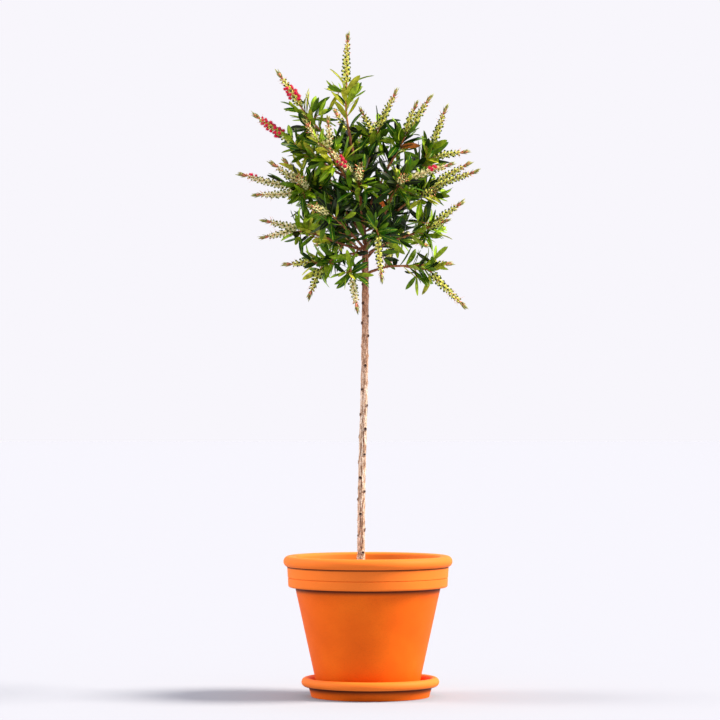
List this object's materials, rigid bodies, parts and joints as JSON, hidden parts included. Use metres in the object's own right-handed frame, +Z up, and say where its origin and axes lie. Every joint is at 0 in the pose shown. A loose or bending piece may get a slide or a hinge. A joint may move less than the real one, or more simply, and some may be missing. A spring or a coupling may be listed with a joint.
{
  "type": "potted bottlebrush standard",
  "caption": "Young bottlebrush tree grown as a standard: slim bare stem, open leafy head with flower spikes, in a clay pot and saucer.",
  "frame": {"origin": "middle of the saucer's flat underside, where the pot stands on the ground", "axes": "+Z up along the stem, -Y towards the front, +X to the right"},
  "size_m": [0.4586, 0.3946, 1.2449],
  "materials": {
    "terracotta": "matte",
    "compost": "rough",
    "trunk_bark": "rough",
    "limb_bark": "satin",
    "leaves": "satin"
  },
  "bodies": {
    "root": {"saucer": "terracotta", "pot": "terracotta", "soil": "compost", "trunk": "trunk_bark", "leader": "limb_bark", "bough_upper_left": "limb_bark", "bough_front_upper_left": "limb_bark", "bough_left_high": "limb_bark", "bough_left_middle": "limb_bark", "bough_left_low": "limb_bark", "bough_lower_left": "limb_bark", "bough_hanging_left": "limb_bark", "bough_front_low": "limb_bark", "bough_lower_right": "limb_bark", "bough_right_low": "limb_bark", "bough_right_middle": "limb_bark", "bough_front_right": "limb_bark", "bough_right_high": "limb_bark", "bough_upper_right": "limb_bark", "bough_upper_middle": "limb_bark", "bough_front_middle": "limb_bark", "bough_front_left": "limb_bark", "bough_back_high": "limb_bark", "bough_back_left": "limb_bark", "bough_back_right": "limb_bark", "bough_back_low_left": "limb_bark", "bough_back_low_right": "limb_bark", "pruned_stub": "limb_bark", "foliage_top": "leaves", "foliage_upper_left": "leaves", "foliage_front_upper_left": "leaves", "foliage_left_high": "leaves", "foliage_left_middle": "leaves", "foliage_left_low": "leaves", "foliage_lower_left": "leaves", "foliage_hanging_left": "leaves", "foliage_front_low": "leaves", "foliage_lower_right": "leaves", "foliage_right_low": "leaves", "foliage_right_middle": "leaves", "foliage_front_right": "leaves", "foliage_right_high": "leaves", "foliage_upper_right": "leaves", "foliage_upper_middle": "leaves", "foliage_front_middle": "leaves", "foliage_front_left": "leaves", "foliage_back_high": "leaves", "foliage_back_left": "leaves", "foliage_back_right": "leaves", "foliage_back_low_left": "leaves", "foliage_back_low_right": "leaves"}
  },
  "joints": []
}
